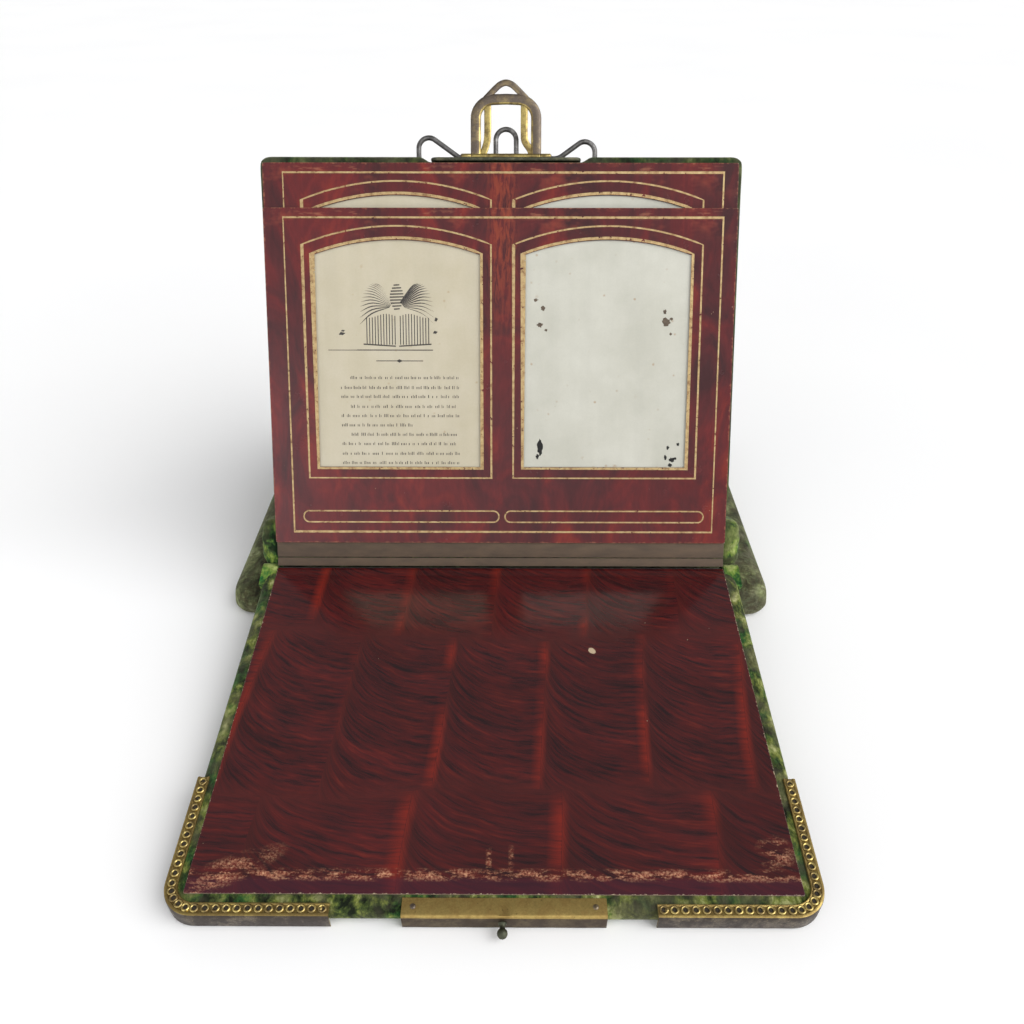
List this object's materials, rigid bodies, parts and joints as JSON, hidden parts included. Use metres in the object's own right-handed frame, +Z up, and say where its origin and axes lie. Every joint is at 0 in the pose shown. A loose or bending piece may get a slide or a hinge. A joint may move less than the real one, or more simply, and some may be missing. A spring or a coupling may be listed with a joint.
{
  "type": "upright photograph album",
  "caption": "Velvet-bound upright photograph album standing open on a padded base, with arched card leaves, brass corner guards, hasp clasp and wire easel strut.",
  "frame": {"origin": "centre of the base underside, on the table", "axes": "+X to the right of somebody reading the album, +Y from the reader towards the back, +Z up; at rest the front cover lies open towards -Y"},
  "size_m": [0.35, 0.4554, 0.2873],
  "materials": {
    "velvet": "mottled dark green plush velvet",
    "leaf_card": "glossy mahogany red printed face",
    "photo_slip": "aged blank mount paper",
    "linen": "dull brown linen",
    "lining_paper": "glossy wood-grain paper, worn",
    "cover_board": "raw pulp board",
    "brass": "stamped, aged",
    "steel_wire": "dull drawn wire"
  },
  "bodies": {
    "base": {"base_board": "cover_board", "base_velvet": "velvet", "base_lining": "lining_paper", "spine_joint_cloth": "velvet", "gutter_cloth": "velvet"},
    "front_cover": {"front_cover_board": "cover_board", "front_cover_velvet": "velvet", "front_cover_lining": "lining_paper", "corner_guard_left": "brass", "corner_guard_right": "brass", "guard_nails": "brass", "clasp_plate": "brass", "clasp_rivets": "brass", "clasp_stud": "brass"},
    "album_back": {"back_cover_board": "cover_board", "back_cover_velvet": "velvet", "back_cover_lining": "lining_paper", "spine_board": "cover_board", "spine_velvet": "velvet", "hinge_linen": "linen", "hasp_plate": "brass", "hasp_rivets": "brass", "strut_staples": "brass"},
    "hasp": {"hasp_frame": "brass", "hasp_pin": "brass"},
    "strut": {"strut_top_wire": "steel_wire", "strut_leg_left": "steel_wire", "strut_leg_right": "steel_wire", "strut_foot": "steel_wire"},
    "leaf_1_hinge_tab": {"leaf_1_tab": "linen"},
    "leaf_1": {"leaf_1_card": "leaf_card", "leaf_1_linen": "linen"},
    "slip_left": {"leaf_1_slip_left": "photo_slip"},
    "slip_right": {"leaf_1_slip_right": "photo_slip"},
    "leaf_2": {"leaf_2_card": "leaf_card", "leaf_2_linen": "linen", "leaf_2_slip_left": "photo_slip", "leaf_2_slip_right": "photo_slip"},
    "leaf_3": {"leaf_3_card": "leaf_card", "leaf_3_linen": "linen"},
    "leaf_4": {"leaf_4_card": "leaf_card", "leaf_4_linen": "linen"},
    "leaf_5": {"leaf_5_card": "leaf_card", "leaf_5_linen": "linen"},
    "leaf_6": {"leaf_6_card": "leaf_card", "leaf_6_linen": "linen"},
    "leaf_7": {"leaf_7_card": "leaf_card", "leaf_7_linen": "linen"},
    "leaf_8": {"leaf_8_card": "leaf_card", "leaf_8_linen": "linen"}
  },
  "joints": [
    {"name": "front_cover_hinge", "type": "hinge", "parent": "base", "child": "front_cover", "pos_m": [0, -0.09595, 0.04471], "axis": [-1, 0, 0], "range_deg": [0, 121.6]},
    {"name": "album_recline", "type": "hinge", "parent": "base", "child": "album_back", "pos_m": [0, -0.07957, 0.02034], "axis": [1, 0, 0], "range_deg": [-3, 0]},
    {"name": "leaf_1_rise", "type": "slide", "parent": "album_back", "child": "leaf_1_hinge_tab", "axis": [0, 0.4352, 0.9003], "range_m": [0, 0.0256]},
    {"name": "leaf_1_turn", "type": "hinge", "parent": "leaf_1_hinge_tab", "child": "leaf_1", "pos_m": [0, -0.10759, 0.03911], "axis": [-1, 0, 0], "range_deg": [-122, 0]},
    {"name": "leaf_2_turn", "type": "hinge", "parent": "album_back", "child": "leaf_2", "pos_m": [0, -0.09367, 0.06126], "axis": [-1, 0, 0], "range_deg": [-70.2, 0]},
    {"name": "leaf_3_turn", "type": "hinge", "parent": "album_back", "child": "leaf_3", "pos_m": [0, -0.09106, 0.05999], "axis": [-1, 0, 0], "range_deg": [-60.2, 0]},
    {"name": "leaf_4_turn", "type": "hinge", "parent": "album_back", "child": "leaf_4", "pos_m": [0, -0.08845, 0.05873], "axis": [-1, 0, 0], "range_deg": [-50.2, 0]},
    {"name": "leaf_5_turn", "type": "hinge", "parent": "album_back", "child": "leaf_5", "pos_m": [0, -0.08583, 0.05747], "axis": [-1, 0, 0], "range_deg": [-40.2, 0]},
    {"name": "leaf_6_turn", "type": "hinge", "parent": "album_back", "child": "leaf_6", "pos_m": [0, -0.08322, 0.05621], "axis": [-1, 0, 0], "range_deg": [-30.2, 0]},
    {"name": "leaf_7_turn", "type": "hinge", "parent": "album_back", "child": "leaf_7", "pos_m": [0, -0.08061, 0.05495], "axis": [-1, 0, 0], "range_deg": [-20.2, 0]},
    {"name": "leaf_8_turn", "type": "hinge", "parent": "album_back", "child": "leaf_8", "pos_m": [0, -0.078, 0.05368], "axis": [-1, 0, 0], "range_deg": [-10.2, 0]},
    {"name": "slip_left_slide", "type": "slide", "parent": "leaf_1", "child": "slip_left", "axis": [0, -0.4352, -0.9003], "range_m": [-0.06, 0]},
    {"name": "slip_right_slide", "type": "slide", "parent": "leaf_1", "child": "slip_right", "axis": [0, -0.4352, -0.9003], "range_m": [-0.06, 0]},
    {"name": "hasp_turn", "type": "hinge", "parent": "album_back", "child": "hasp", "pos_m": [0, 0.0263, 0.24784], "axis": [1, 0, 0], "range_deg": [0, 90]},
    {"name": "strut_swing", "type": "hinge", "parent": "album_back", "child": "strut", "pos_m": [0, 0.02964, 0.24579], "axis": [1, 0, 0], "range_deg": [0, 8.2]}
  ],
  "couplings": [
    {"joint": "leaf_1_rise", "follows": "front_cover_hinge", "m_per_rad": 0.012015},
    {"joint": "strut_swing", "follows": "album_recline", "ratio": -2.7},
    {"joint": "leaf_2_turn", "follows": "leaf_1_turn", "ratio": 0.57377},
    {"joint": "leaf_3_turn", "follows": "leaf_1_turn", "ratio": 0.4918},
    {"joint": "leaf_4_turn", "follows": "leaf_1_turn", "ratio": 0.40984},
    {"joint": "leaf_5_turn", "follows": "leaf_1_turn", "ratio": 0.32787},
    {"joint": "leaf_6_turn", "follows": "leaf_1_turn", "ratio": 0.2459},
    {"joint": "leaf_7_turn", "follows": "leaf_1_turn", "ratio": 0.16393},
    {"joint": "leaf_8_turn", "follows": "leaf_1_turn", "ratio": 0.081967}
  ]
}
